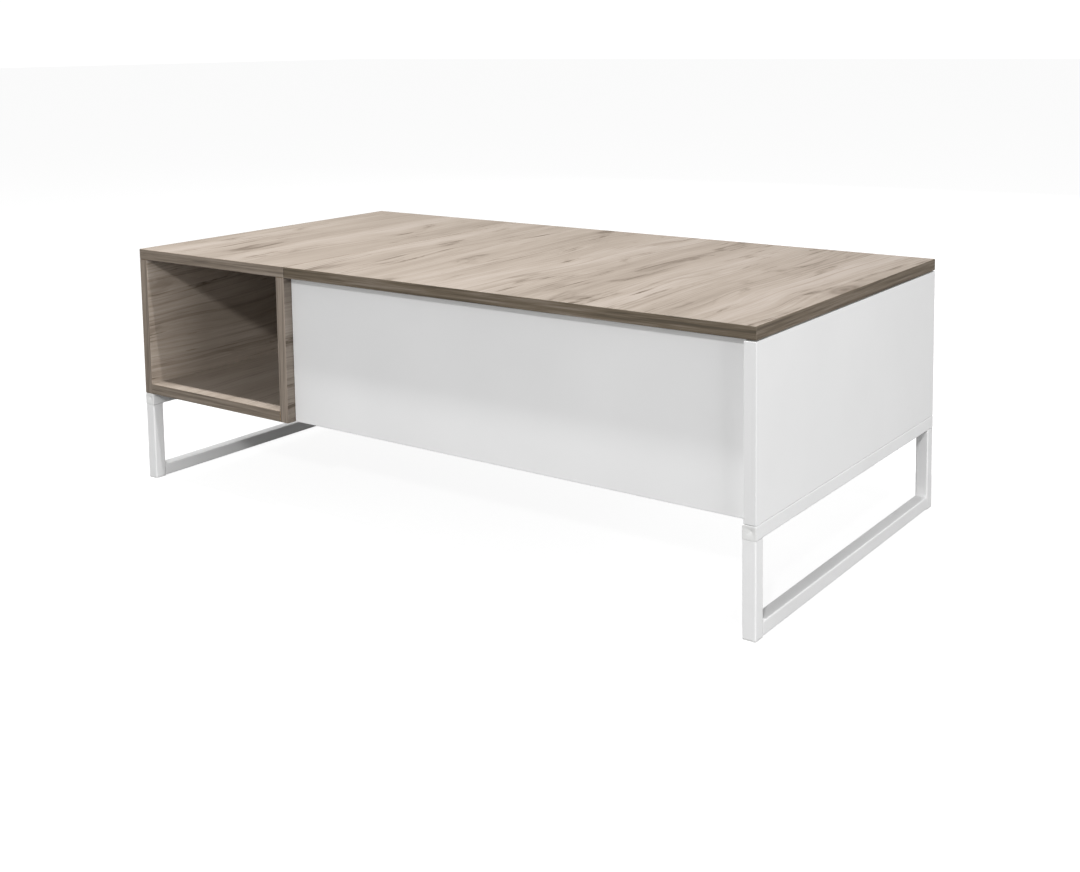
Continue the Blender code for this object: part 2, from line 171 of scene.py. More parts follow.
class TableSettings(bpy.types.PropertyGroup):
    """Everything a user may change."""

    boards: PointerProperty(type=BoardSettings)
    frames: PointerProperty(type=FrameSettings)
    hardware: PointerProperty(type=HardwareSettings)
    stage: PointerProperty(type=StageSettings)


def settings():
    return bpy.context.scene.lift_table


# ---------------------------------------------------------------- node trees


def node(tree, kind, inputs=None, stops=(), **options):
    """Adds one node. inputs maps a socket to a value, an output, or a node (its first output)."""
    made = tree.nodes.new(kind)
    for key, value in options.items():
        setattr(made, key, value)
    for key, value in (inputs or {}).items():
        if isinstance(value, bpy.types.Node):
            value = value.outputs[0]
        if isinstance(value, bpy.types.NodeSocket):
            tree.links.new(value, made.inputs[key])
        else:
            made.inputs[key].default_value = value
    if stops:
        elements = made.color_ramp.elements
        while len(elements) < len(stops):
            elements.new(0.5)
        for element, (place, colour) in zip(elements, stops):
            element.position = place
            element.color = colour
    return made


def material(name):
    """Turns a function that fills a tree into one that returns the material, made only once."""

    def wrap(fill):
        def get():
            made = bpy.data.materials.get(name)
            if made is None:
                made = bpy.data.materials.new(name)
                made.use_nodes = True
                made.node_tree.nodes.clear()
                fill(made.node_tree)
            return made

        return get

    return wrap


def surface(tree, height, relief, **sockets):
    """The shader and output. relief is how deep the height pattern is in metres, or 0 for none.

    Socket names are written with underscores.
    """
    inputs = {key.replace("_", " "): value for key, value in sockets.items()}
    if relief:
        inputs["Normal"] = node(
            tree, "ShaderNodeBump", {"Height": height, "Distance": relief, "Strength": 1.0}
        )
    shader = node(tree, "ShaderNodeBsdfPrincipled", inputs)
    node(tree, "ShaderNodeOutputMaterial", {"Surface": shader})


def layer(tree, place, repeats, detail, roughness=0.5, distortion=0.0):
    """A noise pattern. repeats is its count per metre: one number, or one for each axis."""
    scale = repeats if isinstance(repeats, tuple) else (repeats,) * 3
    stretched = node(tree, "ShaderNodeMapping", {"Vector": place, "Scale": scale})
    return node(
        tree, "ShaderNodeTexNoise",
        {
            "Vector": stretched, "Scale": 1.0, "Detail": detail,
            "Roughness": roughness, "Distortion": distortion,
        },
    )


def weighted(tree, start, *terms):
    """start plus each value times its weight, which may be another pattern."""
    total = start
    for value, weight in terms:
        total = node(
            tree, "ShaderNodeMath", {0: value, 1: weight, 2: total}, operation="MULTIPLY_ADD"
        )
    return total


def mottled(tree, fine, cloud, stops, rough, relief, place=None, **sockets):
    """A surface whose fine pattern sets its relief and gloss, and whose cloud sets its shade.

    fine and cloud are (repeats per metre, detail). With no cloud, fine sets the shade as well.
    """
    place = place or node(tree, "ShaderNodeTexCoord").outputs["Object"]
    grit = layer(tree, place, *fine)
    shade = layer(tree, place, *cloud) if cloud else grit
    colour = node(tree, "ShaderNodeValToRGB", {"Fac": shade}, stops)
    gloss = node(
        tree, "ShaderNodeMapRange", {"Value": grit, "To Min": rough[0], "To Max": rough[1]}
    )
    surface(tree, grit, relief, Base_Color=colour, Roughness=gloss, **sockets)


def grey(level):
    return (level, level, level, 1.0)


BLACK = grey(0.0)


def blend_tone(colour, share, other):
    """A colour moved by a share towards another."""
    return tuple(a + (b - a) * share for a, b in zip(colour, other))


# ---------------------------------------------------------------- materials


@material("oak_print_melamine")
def oak_laminate(tree):
    """Melamine paper printed as aged oak and pressed on chipboard with a matt, pored plate.

    Pale ribbons 20 to 40 mm wide run with the grain, broken by darker figure, hairline cracks
    60 to 100 mm long and a few knots. The pores sit a few hundredths of a millimetre deep.
    """
    own = settings().boards
    grain = node(tree, "ShaderNodeAttribute", attribute_name="grain").outputs["Vector"]

    # The grain wanders sideways by up to about 20 mm over half a metre.
    slow = node(tree, "ShaderNodeMapping", {"Vector": grain, "Scale": (1.7, 3.5, 1.0)})
    drift = node(tree, "ShaderNodeTexNoise", {"Vector": slow, "Scale": 1.0, "Detail": 2.0})
    centred = node(
        tree, "ShaderNodeVectorMath",
        {0: drift.outputs["Color"], 1: (0.5, 0.5, 0.5)}, operation="SUBTRACT",
    )
    wander = node(
        tree, "ShaderNodeVectorMath",
        {0: centred, 1: (0.0, 0.095, 0.0), 2: grain}, operation="MULTIPLY_ADD",
    )

    # Repeats per metre along the grain, then across it: fibre is drawn 3 mm wide so that it shows.
    ribbons = layer(tree, wander, (0.9, 12.0, 1.0), 3.0)
    streaks = layer(tree, wander, (2.3, 34.0, 1.0), 6.0, 0.68, 0.6)
    fibre = layer(tree, wander, (8.0, 300.0, 1.0), 3.0, 0.65)
    figure = layer(tree, wander, (3.4, 13.0, 1.0), 6.0, 0.62, 1.8)
    hairline = layer(tree, wander, (5.5, 165.0, 1.0), 2.0, 0.5, 0.4)
    rays = layer(tree, wander, (1.0, 240.0, 1.0), 1.0)

    feathered = weighted(tree, -0.285, (figure, 1.0), (streaks, 0.35), (fibre, 0.22))
    # Cells about 385 by 130 mm, each of which may hold a knot.
    cells = node(tree, "ShaderNodeMapping", {"Vector": wander, "Scale": (2.6, 7.5, 1.0)})
    knots = node(tree, "ShaderNodeTexVoronoi", {"Vector": cells, "Scale": 1.0})

    # Each row turns a band of a pattern's values into a strength.
    cloud, crack, near, line, eye = (
        node(
            tree, "ShaderNodeMapRange",
            {"Value": value, "From Min": low, "From Max": high, "To Min": first, "To Max": last},
            interpolation_type=ease,
        )
        for value, low, high, first, last, ease in (
            # Figure: dark clouds where the tree's crotch was, feathered along the fibre.
            (feathered, 0.55, 0.76, 0.0, 0.27, "SMOOTHSTEP"),
            # Hairline cracks, and how near the figure is: they open only inside and beside it.
            (hairline, 0.59, 0.65, 0.0, 1.0, "LINEAR"),
            (figure, 0.50, 0.62, 0.12, 1.0, "LINEAR"),
            # Long thin lines, 1 to 2 mm wide, follow the grain for most of the board's depth.
            (rays, 0.60, 0.68, 0.0, 0.12, "LINEAR"),
            # Knots, about 15 by 40 mm.
            (knots, 0.03, 0.17, 1.0, 0.0, "SMOOTHSTEP"),
        )
    )
    crack = weighted(tree, 0.0, (crack, near))
    # One cell in three or four has a knot, with two or three rings.
    chosen = node(
        tree, "ShaderNodeMath", {0: knots.outputs["Color"], 1: 0.62}, operation="GREATER_THAN"
    )
    wave = node(tree, "ShaderNodeMath", {0: weighted(tree, 0.0, (knots, 90.0))}, operation="SINE")
    rings = weighted(tree, 0.62, (wave, 0.18))
    knot = weighted(tree, 0.0, (weighted(tree, 0.0, (eye, chosen)), rings))

    tone = weighted(
        tree, -0.08, (ribbons, 0.44), (streaks, 0.28), (fibre, 0.44),
        (cloud, -1.0), (line, -1.0), (crack, -0.38), (knot, -0.42),
    )
    dark, mid, light = own.oak_dark[:], own.oak_mid[:], own.oak_light[:]
    printed = node(
        tree, "ShaderNodeValToRGB", {"Fac": tone},
        [
            (0.12, dark), (0.36, blend_tone(dark, 0.62, mid)), (0.50, mid),
            (0.62, blend_tone(mid, 0.62, light)), (0.80, light),
        ],
    )
    # Painted light and shade: the tone attribute scales the print, lightening the cubby's inner
    # wall and floor where they lie in shade, and darkening the divider's outer face in its recess.
    darker = node(tree, "ShaderNodeAttribute", attribute_name="tone").outputs["Fac"]
    colour = node(
        tree, "ShaderNodeVectorMath",
        {0: printed, "Scale": weighted(tree, 1.0, (darker, -1.0))}, operation="SCALE",
    )
    gloss = node(tree, "ShaderNodeMapRange", {"Value": fibre, "To Min": 0.46, "To Max": 0.62})
    pores = weighted(tree, 0.0, (fibre, 1.0), (crack, -1.0))
    surface(
        tree, pores, 0.00004,
        Base_Color=colour, Roughness=gloss, IOR=1.5, Specular_IOR_Level=0.35,
    )


@material("oak_print_abs_edging")
def oak_edging(tree):
    """ABS edge banding printed with straight oak grain: darker than the face and a little glossier.

    Its lines run the length of the edge, 2 to 5 mm apart.
    """
    own = settings().boards
    grain = node(tree, "ShaderNodeAttribute", attribute_name="grain").outputs["Vector"]
    patches = layer(tree, grain, (5.0, 30.0, 1.0), 3.0)
    lines = layer(tree, grain, (5.5, 260.0, 1.0), 4.0, 0.6)
    fibre = layer(tree, grain, (24.0, 900.0, 1.0), 2.0)
    tone = weighted(tree, -0.85, (patches, 0.6), (lines, 1.5), (fibre, 0.6))
    # Lengths cut from different rolls: tone is each edge's share of the pale roll.
    roll = node(tree, "ShaderNodeAttribute", attribute_name="tone").outputs["Fac"]
    bands = [
        node(
            tree, "ShaderNodeValToRGB", {"Fac": tone},
            [
                (0.22, blend_tone(mid, 0.42, BLACK)), (0.50, mid),
                (0.78, blend_tone(mid, 0.30, own.oak_light[:])),
            ],
        )
        for mid in (own.band_mid[:], own.band_pale[:])
    ]
    # Inputs 6 and 7 and output 2 are the colour sockets.
    colour = node(
        tree, "ShaderNodeMix", {0: roll, 6: bands[0], 7: bands[1]}, data_type="RGBA"
    ).outputs[2]
    gloss = node(tree, "ShaderNodeMapRange", {"Value": fibre, "To Min": 0.38, "To Max": 0.52})
    surface(
        tree, lines, 0.00002,
        Base_Color=colour, Roughness=gloss, IOR=1.5, Specular_IOR_Level=0.4,
    )


@material("chipboard_core")
def chipboard(tree):
    """Raw chipboard: pressed flakes 2 to 5 mm across, seen only on edges that no one banded."""
    place = node(tree, "ShaderNodeTexCoord").outputs["Object"]
    # 330 cells a metre is a flake every 3 mm.
    flakes = node(tree, "ShaderNodeTexVoronoi", {"Vector": place, "Scale": 330.0})
    colour = node(
        tree, "ShaderNodeValToRGB", {"Fac": flakes.outputs["Color"]},
        [(0.1, linear("8C6E4B")), (0.5, linear("B4946A")), (0.9, linear("CDB48C"))],
    )
    surface(tree, flakes, 0.0002, Base_Color=colour, Roughness=0.85)


@material("white_melamine_board")
def white_melamine(tree):
    """White melamine paper pressed with a fine pearl plate: even, satin, with a shallow dimpling.

    The real pearl is about 0.4 mm; it is drawn near 2 mm so that it shows.
    """
    white = settings().boards.white[:]
    mottled(
        tree, (520.0, 2.0), (5.0, 3.0),
        [(0.3, blend_tone(white, 0.035, BLACK)), (0.7, white)],
        (0.44, 0.58), 0.000012, IOR=1.5, Specular_IOR_Level=0.4,
    )


@material("white_abs_edging")
def white_edging(tree):
    """White ABS edge banding, scraped flush: smoother than the face, with faint scraper lines."""
    white = blend_tone(settings().boards.white[:], 0.06, BLACK)
    # Scraper chatter: fine lines along the edge, drawn at 1 mm.
    mottled(
        tree, ((6.0, 900.0, 1.0), 2.0), None,
        [(0.3, blend_tone(white, 0.03, BLACK)), (0.7, white)], (0.30, 0.42), 0.000008,
        place=node(tree, "ShaderNodeAttribute", attribute_name="grain").outputs["Vector"],
        IOR=1.5,
    )


@material("white_powder_coat")
def powder_coat(tree):
    """Polyester powder coat baked on steel tube: white, satin, with a soft orange peel.

    The peel's waves are about 1.5 mm long.
    """
    coat = settings().frames.coat[:]
    mottled(
        tree, (650.0, 2.0), (14.0, 3.0),
        [(0.3, blend_tone(coat, 0.04, BLACK)), (0.7, coat)], (0.30, 0.44), 0.00003, IOR=1.5,
    )


@material("white_polypropylene")
def moulded_plastic(tree):
    """White polypropylene, injection moulded in a spark-eroded tool: matt and slightly waxy.

    The spark texture is drawn at 0.8 mm.
    """
    mottled(
        tree, (1200.0, 2.0), None, [(0.3, linear("D8D8D7")), (0.7, linear("E2E2E1"))],
        (0.52, 0.52), 0.00002, IOR=1.49,
    )


@material("black_e_coat_steel")
def black_e_coat(tree):
    """Pressed steel, dipped in black electrophoretic paint: thin, satin, with faint rolling marks.

    The marks run along Y, 1 to 3 mm apart, and the paint clouds every 17 mm.
    """
    mottled(
        tree, ((300.0, 60.0, 900.0), 3.0), (60.0, 4.0),
        [(0.35, linear("1B1B1C")), (0.6, linear("242425")), (0.8, linear("303031"))],
        (0.34, 0.52), 0.00002, IOR=1.5,
    )


@material("bright_zinc_plate")
def zinc_plate(tree):
    """Turned or cold-headed steel with bright zinc plate: bluish silver, cloudy every 4 mm."""
    mottled(
        tree, (260.0, 3.0), None,
        [(0.3, linear("B9BCC1")), (0.5, linear("CBCED2")), (0.7, linear("D6D8DA"))],
        (0.20, 0.38), 0.00001, Metallic=1.0,
    )


@material("zinc_plated_spring_wire")
def spring_wire(tree):
    """Drawn carbon-steel wire, zinc plated: a dull silver surface with 1 mm draw marks."""
    mottled(
        tree, (900.0, 3.0), None, [(0.3, linear("94979B")), (0.7, linear("B3B6BA"))],
        (0.28, 0.45), 0.00001, Metallic=1.0,
    )


@material("clear_polyurethane_pad")
def clear_pad(tree):
    """Cast polyurethane pad: clear, soft and slightly tacky, so dust dulls it in 0.7 mm specks."""
    mottled(
        tree, (1500.0, 3.0), None, [(0.4, linear("E4E8EA")), (0.7, linear("F4F6F7"))],
        (0.08, 0.30), 0.0, Transmission_Weight=0.6, IOR=1.49,
    )


# ---------------------------------------------------------------- meshes


def link_object(name, data):
    """A new object in the scene's own collection."""
    made = bpy.data.objects.new(name, data)
    bpy.context.scene.collection.objects.link(made)
    return made


def with_material(mesh, *materials):
    mesh.materials.clear()
    for each in materials:
        mesh.materials.append(each)
    return mesh


def shade_smooth(mesh, angle=None):
    """Smooth shading, broken at edges sharper than an angle in degrees."""
    mesh.polygons.foreach_set("use_smooth", [True] * len(mesh.polygons))
    if angle is not None:
        mesh.set_sharp_from_angle(angle=math.radians(angle))
    return mesh


def as_mesh(name, shape, materials=(), smooth=None):
    """Turns a bmesh into a mesh. smooth is the largest angle that stays soft, in degrees."""
    mesh = bpy.data.meshes.new(name)
    shape.to_mesh(mesh)
    shape.free()
    with_material(mesh, *materials)
    return mesh if smooth is None else shade_smooth(mesh, smooth)


def add_piece(name, mesh, body, replaced=()):
    """A finished piece in the row frame, riding on its body."""
    made = link_object(name, mesh)
    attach(made, body)
    if replaced:
        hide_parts(*replaced)
    return made


def baked(mesh, prepare):
    """A mesh with modifiers applied. prepare adds them to the object that holds it."""
    holder = link_object("holder", mesh)
    prepare(holder)
    graph = bpy.context.evaluated_depsgraph_get()
    result = bpy.data.meshes.new_from_object(
        holder.evaluated_get(graph), preserve_all_data_layers=True, depsgraph=graph
    )
    holder.modifiers.clear()
    bpy.data.objects.remove(holder)
    return result


def rounded_box(low, high, radius, sharp=(), steps=3):
    """A block with its edges rounded, and exact normals so that its broad faces stay flat.

    The edges round the faces listed in sharp, as (axis, sign), stay square.
    """
    shape = bmesh.new()
    bmesh.ops.create_cube(shape, size=1.0)
    for vert in shape.verts:
        vert.co = Vector((low[i] + (vert.co[i] + 0.5) * (high[i] - low[i]) for i in range(3)))

    def is_sharp(face):
        return any(face.normal[axis] * sign > 0.9 for axis, sign in sharp)

    shape.normal_update()
    soft = [edge for edge in shape.edges if not any(is_sharp(face) for face in edge.link_faces)]
    bmesh.ops.bevel(shape, geom=soft, offset=radius, segments=steps, profile=0.5, affect="EDGES")
    bmesh.ops.recalc_face_normals(shape, faces=shape.faces)
    mesh = shade_smooth(as_mesh("block", shape))
    inner_low = [low[i] + (0.0 if (i, -1) in sharp else radius) for i in range(3)]
    inner_high = [high[i] - (0.0 if (i, 1) in sharp else radius) for i in range(3)]
    normals = []
    for polygon in mesh.polygons:
        flat = max(abs(part) for part in polygon.normal) > 0.999
        for corner in polygon.loop_indices:
            place = mesh.vertices[mesh.loops[corner].vertex_index].co
            core = Vector(min(max(place[i], inner_low[i]), inner_high[i]) for i in range(3))
            normals.append(polygon.normal.copy() if flat else (place - core).normalized())
    mesh.normals_split_custom_set(normals)
    return mesh


def faced_board(node_name, body, thin, along, seed, face, edging, raw=(), painted_shade_and_roll=(0.0, 0.0)):
    """A board that stands for its CAD node: two laminate faces and four edges.

    thin is the axis through its thickness and along is the axis of its grain. raw lists edges
    left unbanded as (axis, sign). Each corner carries its place along and across the grain, and
    a tone: on the face towards plus thin, painted shade (darker) or, where negative, painted light
    (lighter); then how pale the edging is.
    """
    low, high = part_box(node_name)
    mesh = rounded_box(low, high, settings().boards.edge_round, raw)
    with_material(mesh, face, edging, chipboard())
    places = [0.0] * (3 * len(mesh.loops))
    painted_shade_and_roll_per_corner = [0.0] * len(mesh.loops)
    in_plane = [axis for axis in (X, Y, Z) if axis != thin]
    # Offsets that give each face and edge its own stretch of the pattern.
    lower_face, edges, per_axis, per_sign = 2.3, 4.1, 1.7, 0.9
    cross_edge_paler = 0.14
    for polygon in mesh.polygons:
        normal = polygon.normal
        if abs(normal[thin]) > 0.8:
            polygon.material_index = 0
            with_grain, across = along, sum(in_plane) - along
            shift = seed + (0.0 if normal[thin] > 0 else lower_face)
            # Painted light or shade on the face towards plus thin; the other face keeps the print
            # as it is.
            shade = painted_shade_and_roll[0] if normal[thin] > 0 else 0.0
        else:
            edge = max(in_plane, key=lambda axis: abs(normal[axis]))
            sign = 1 if normal[edge] > 0 else -1
            polygon.material_index = 2 if (edge, sign) in raw else 1
            with_grain, across = sum(in_plane) - edge, thin
            shift = seed + edges + per_axis * edge + per_sign * sign
            shade = painted_shade_and_roll[1] + (cross_edge_paler if edge != along else 0.0)
        for corner in polygon.loop_indices:
            place = mesh.vertices[mesh.loops[corner].vertex_index].co
            places[3 * corner : 3 * corner + 3] = (place[with_grain], place[across], shift)
            painted_shade_and_roll_per_corner[corner] = shade
    mesh.attributes.new("grain", "FLOAT_VECTOR", "CORNER").data.foreach_set("vector", places)
    # The tone carries painted light and shade on the faces, and each edge's share of the pale roll.
    mesh.attributes.new("tone", "FLOAT", "CORNER").data.foreach_set("value", painted_shade_and_roll_per_corner)
    return add_piece(node_name + "_board", mesh, body, (node_name,))


def rounded_square(half, radius, steps=5, flat=0.0002):
    """Points of a square with round corners, and one beside each arc to keep the sides flat."""
    points = []
    for quarter in range(4):
        turn = Matrix.Rotation(quarter * math.pi / 2, 2)
        inner = half - radius
        arc = [(half, inner - flat)]
        for i in range(steps + 1):
            angle = i * math.pi / 2 / steps
            arc.append((inner + radius * math.cos(angle), inner + radius * math.sin(angle)))
        arc.append((inner - flat, half))
        points += [turn @ Vector(point) for point in arc]
    return points


def add_rings(shape, rings, joined=False):
    """Skins a list of rings with the same number of points.

    The last ring is joined to the first, or else both are capped.
    """
    made = [[shape.verts.new(point) for point in ring] for ring in rings]
    count = len(made[0])
    for near, far in zip(made, made[1:] + (made[:1] if joined else [])):
        for i in range(count):
            j = (i + 1) % count
            shape.faces.new((near[i], near[j], far[j], far[i]))
    if not joined:
        shape.faces.new(made[0][::-1])
        shape.faces.new(made[-1])


def add_tube(shape, start, end, radius):
    """A hollow square tube from start to end, with both ends open and its wall showing there."""
    start, run = Vector(start), Vector(end) - Vector(start)
    turn = Vector((0.0, 0.0, 1.0)).rotation_difference(run).to_matrix()
    outer = rounded_square(TUBE / 2, radius)
    inner = rounded_square(TUBE / 2 - TUBE_WALL, max(radius - TUBE_WALL, 0.0003))
    # The cut ends are deburred, which leaves a 0.2 mm break on the outer edge.
    burr = 0.0002
    trimmed = rounded_square(TUBE / 2 - burr, radius)
    length = run.length
    loops = [
        (inner, 0.0), (trimmed, 0.0), (outer, burr),
        (outer, length - burr), (trimmed, length), (inner, length),
    ]
    rings = [[start + turn @ Vector((p.x, p.y, along)) for p in ring] for ring, along in loops]
    add_rings(shape, rings, joined=True)


def around(count):
    """Angles spread evenly round a circle."""
    return [2 * math.pi * i / count for i in range(count)]


def add_turned(shape, profile, count, place):
    """A turned shape. profile lists (along, radius), and place maps (along, u, v)."""
    add_rings(shape, [
        [place(along, radius * math.cos(a), radius * math.sin(a)) for a in around(count)]
        for along, radius in profile
    ])


def softened(node_name, width, steps=2):
    """A copy of a CAD node with its doubles merged and its sharp edges rounded."""
    shape = bmesh.new()
    shape.from_mesh(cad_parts[node_name].data)
    bmesh.ops.remove_doubles(shape, verts=shape.verts, dist=2e-6)
    bmesh.ops.dissolve_limit(
        shape, angle_limit=math.radians(1.0), verts=shape.verts, edges=shape.edges
    )
    mesh = shade_smooth(as_mesh(node_name, shape))

    def prepare(holder):
        bevel = holder.modifiers.new("break", "BEVEL")
        bevel.width = width
        bevel.segments = steps
        bevel.limit_method = "ANGLE"
        bevel.angle_limit = math.radians(40)
        bevel.harden_normals = True

    return baked(mesh, prepare)


# ---------------------------------------------------------------- geometry node trees


def geometry_group(name, inputs):
    """A Geometry Nodes tree with named inputs, and the sockets that hand them over."""
    group = bpy.data.node_groups.new(name, "GeometryNodeTree")
    group.interface.new_socket("Geometry", in_out="INPUT", socket_type="NodeSocketGeometry")
    for label, kind, default in inputs:
        socket = group.interface.new_socket(label, in_out="INPUT", socket_type=kind)
        if default is not None:
            socket.default_value = default
    group.interface.new_socket("Geometry", in_out="OUTPUT", socket_type="NodeSocketGeometry")
    return group, node(group, "NodeGroupInput").outputs


def finish_group(group, geometry, finish):
    """Ends a tree in Realize Instances and Set Material."""
    real = node(group, "GeometryNodeRealizeInstances", {"Geometry": geometry})
    painted = node(group, "GeometryNodeSetMaterial", {"Geometry": real, "Material": finish})
    node(group, "NodeGroupOutput", {0: painted})


def grown(source, group, values):
    """The plain mesh that a tree makes from a source mesh."""

    def prepare(holder):
        modifier = holder.modifiers.new("grow", "NODES")
        modifier.node_group = group
        for item in group.interface.items_tree:
            if item.in_out == "INPUT" and item.name in values:
                modifier[item.identifier] = values[item.name]

    return baked(source, prepare)


def heads_tree():
    """Sets a fastener head on every point, facing the point's own way, each turned by chance."""
    group, given = geometry_group(
        "Fastener heads",
        [
            ("Template", "NodeSocketObject", None),
            ("Radius", "NodeSocketFloat", 0.004),
            ("Height", "NodeSocketFloat", 0.0015),
            ("Seed", "NodeSocketInt", 3),
            ("Material", "NodeSocketMaterial", None),
        ],
    )
    template = node(group, "GeometryNodeObjectInfo", {"Object": given["Template"]})
    facing = node(
        group, "GeometryNodeInputNamedAttribute", {"Name": "facing"}, data_type="FLOAT_VECTOR"
    )
    aligned = node(group, "FunctionNodeAlignRotationToVector", {"Vector": facing}, axis="Z")
    chance = node(
        group, "FunctionNodeRandomValue",
        {"Min": 0.0, "Max": 2 * math.pi, "Seed": given["Seed"]}, data_type="FLOAT",
    )
    spin = node(
        group, "FunctionNodeAxisAngleToRotation",
        {"Axis": (0.0, 0.0, 1.0), "Angle": chance.outputs["Value"]},
    )
    turned = node(
        group, "FunctionNodeRotateRotation",
        {"Rotation": aligned, "Rotate By": spin}, rotation_space="LOCAL",
    )
    size = node(
        group, "ShaderNodeCombineXYZ",
        {"X": given["Radius"], "Y": given["Radius"], "Z": given["Height"]},
    )
    placed = node(
        group, "GeometryNodeInstanceOnPoints",
        {
            "Points": given["Geometry"], "Instance": template.outputs["Geometry"],
            "Rotation": turned, "Scale": size,
        },
    )
    finish_group(group, placed, given["Material"])
    return group


def wire_tree():
    """Draws a round wire along a path of edges."""
    group, given = geometry_group(
        "Drawn wire",
        [
            ("Wire radius", "NodeSocketFloat", 0.0011),
            ("Sides", "NodeSocketInt", 10),
            ("Material", "NodeSocketMaterial", None),
        ],
    )
    path = node(group, "GeometryNodeMeshToCurve", {"Mesh": given["Geometry"]})
    section = node(
        group, "GeometryNodeCurvePrimitiveCircle",
        {"Resolution": given["Sides"], "Radius": given["Wire radius"]},
    )
    wire = node(
        group, "GeometryNodeCurveToMesh",
        {"Curve": path, "Profile Curve": section, "Fill Caps": True},
    )
    soft = node(group, "GeometryNodeSetShadeSmooth", {"Geometry": wire})
    finish_group(group, soft, given["Material"])
    return group


def bead_tree():
    """Lays a weld bead along each edge path: one small mound for every ripple."""
    group, given = geometry_group(
        "Weld bead",
        [
            ("Half width", "NodeSocketFloat", 0.0011),
            ("Ripple", "NodeSocketFloat", 0.0010),
            ("Seed", "NodeSocketInt", 7),
            ("Material", "NodeSocketMaterial", None),
        ],
    )
    path = node(group, "GeometryNodeMeshToCurve", {"Mesh": given["Geometry"]})
    points = node(
        group, "GeometryNodeCurveToPoints",
        {"Curve": path, "Length": given["Ripple"]}, mode="LENGTH",
    )
    mound = node(
        group, "GeometryNodeMeshIcoSphere",
        {"Radius": given["Half width"], "Subdivisions": 2},
    )
    soft = node(group, "GeometryNodeSetShadeSmooth", {"Geometry": mound})
    uneven = node(
        group, "FunctionNodeRandomValue",
        {"Min": 0.85, "Max": 1.1, "Seed": given["Seed"]}, data_type="FLOAT",
    )
    placed = node(
        group, "GeometryNodeInstanceOnPoints",
        {"Points": points, "Instance": soft, "Scale": uneven.outputs["Value"]},
    )
    finish_group(group, placed, given["Material"])
    return group


def path_mesh(paths):
    """A mesh of edges only, one chain for each path."""
    verts, edges = [], []
    for path in paths:
        first = len(verts)
        verts += [tuple(point) for point in path]
        edges += [(first + i, first + i + 1) for i in range(len(path) - 1)]
    mesh = bpy.data.meshes.new("paths")
    mesh.from_pydata(verts, edges, [])
    return mesh


def seat_mesh(seats):
    """Points with the way each one faces. seats lists (place, direction)."""
    mesh = bpy.data.meshes.new("seats")
    mesh.from_pydata([tuple(place) for place, _ in seats], [], [])
    facing = mesh.attributes.new("facing", "FLOAT_VECTOR", "POINT")
    facing.data.foreach_set("vector", [c for _, direction in seats for c in direction])
    return mesh


def pan_head():
    """A pan head with a cross recess and a short shank, 1 in radius by 1 high, to be scaled."""
    shape = bmesh.new()
    profile = [
        (-1.9, 0.40), (-0.02, 0.44), (0.0, 0.97), (0.08, 1.0), (0.35, 1.0), (0.62, 0.93),
        (0.82, 0.78), (0.94, 0.56), (1.0, 0.30),
    ]
    add_turned(shape, profile, 24, lambda along, u, v: Vector((u, v, along)))
    head = as_mesh("head", shape)
    cutter = bmesh.new()
    for turn in (0.0, math.pi / 2):
        rings = []
        for height, reach, width in ((0.30, 0.22, 0.10), (1.2, 0.56, 0.15)):
            spin = Matrix.Rotation(turn, 3, "Z")
            corners = ((-reach, -width), (reach, -width), (reach, width), (-reach, width))
            rings.append([spin @ Vector((u, v, height)) for u, v in corners])
        add_rings(cutter, rings)
    cross = link_object("cross", as_mesh("cross", cutter))

    def prepare(holder):
        recess = holder.modifiers.new("recess", "BOOLEAN")
        recess.operation = "DIFFERENCE"
        recess.solver = "EXACT"
        recess.use_self = True
        recess.object = cross

    mesh = baked(head, prepare)
    bpy.data.objects.remove(cross)
    return shade_smooth(mesh, 30)


def cover_cap():
    """The thin domed disc that covers a cam fitting, 1 in radius by 1 high."""
    shape = bmesh.new()
    profile = [(0.02, 0.98), (0.30, 1.0), (0.70, 0.97), (0.92, 0.88), (1.0, 0.70), (0.96, 0.30)]
    add_turned(shape, profile, 28, lambda along, u, v: Vector((u, v, along)))
    return as_mesh("cover", shape, smooth=40)


# ---------------------------------------------------------------- pieces


def build_oak_boards():
    face, edging = oak_laminate(), oak_edging()
    # Node, body, thickness axis, grain axis, pattern offset, edges left raw, then painted shade on
    # the plus face (negative for painted light) and the edging's share of the pale roll.
    boards = (
        ("cubby_top", "carcass", Z, Y, 11.0, (), (0.0, 0.58)),
        # Painted light: the inner wall, in the cubby's shade, is printed lighter.
        ("cubby_left_side", "carcass", X, Y, 23.5, ((Z, 1),), (-0.28, 0.88)),
        # Painted shade: the outer face, in the recess beside the front panel, is printed darker.
        ("cubby_right_side", "carcass", X, Y, 37.2, ((Z, 1),), (0.34, 1.0)),
        # Painted light: the floor's upper face, in the cubby's shade, is printed lighter.
        ("cubby_bottom", "carcass", Z, Y, 49.9, ((X, 1), (X, -1), (Y, 1)), (-0.12, 0.48)),
        ("cubby_back", "carcass", Y, X, 61.4, ((X, 1), (X, -1), (Z, 1)), (0.0, 0.35)),
        ("lift_top", "lift_top", Z, Y, 78.6, (), (0.0, 0.0)),
    )
    for name, body, thin, along, seed, raw, painted_shade_and_roll in boards:
        faced_board(name, body, thin, along, seed, face, edging, raw, painted_shade_and_roll)


def build_white_boards():
    face, edging = white_melamine(), white_edging()
    boards = (
        ("end_panel", X, Y, 3.0, ()),
        ("front_panel", Y, X, 5.0, ((X, 1), (X, -1))),
        ("back_panel", Y, X, 7.0, ((X, 1), (X, -1))),
        ("storage_floor", Z, X, 9.0, ((X, 1), (X, -1), (Y, 1), (Y, -1))),
    )
    for name, thin, along, seed, raw in boards:
        faced_board(name, "carcass", thin, along, seed, face, edging, raw)


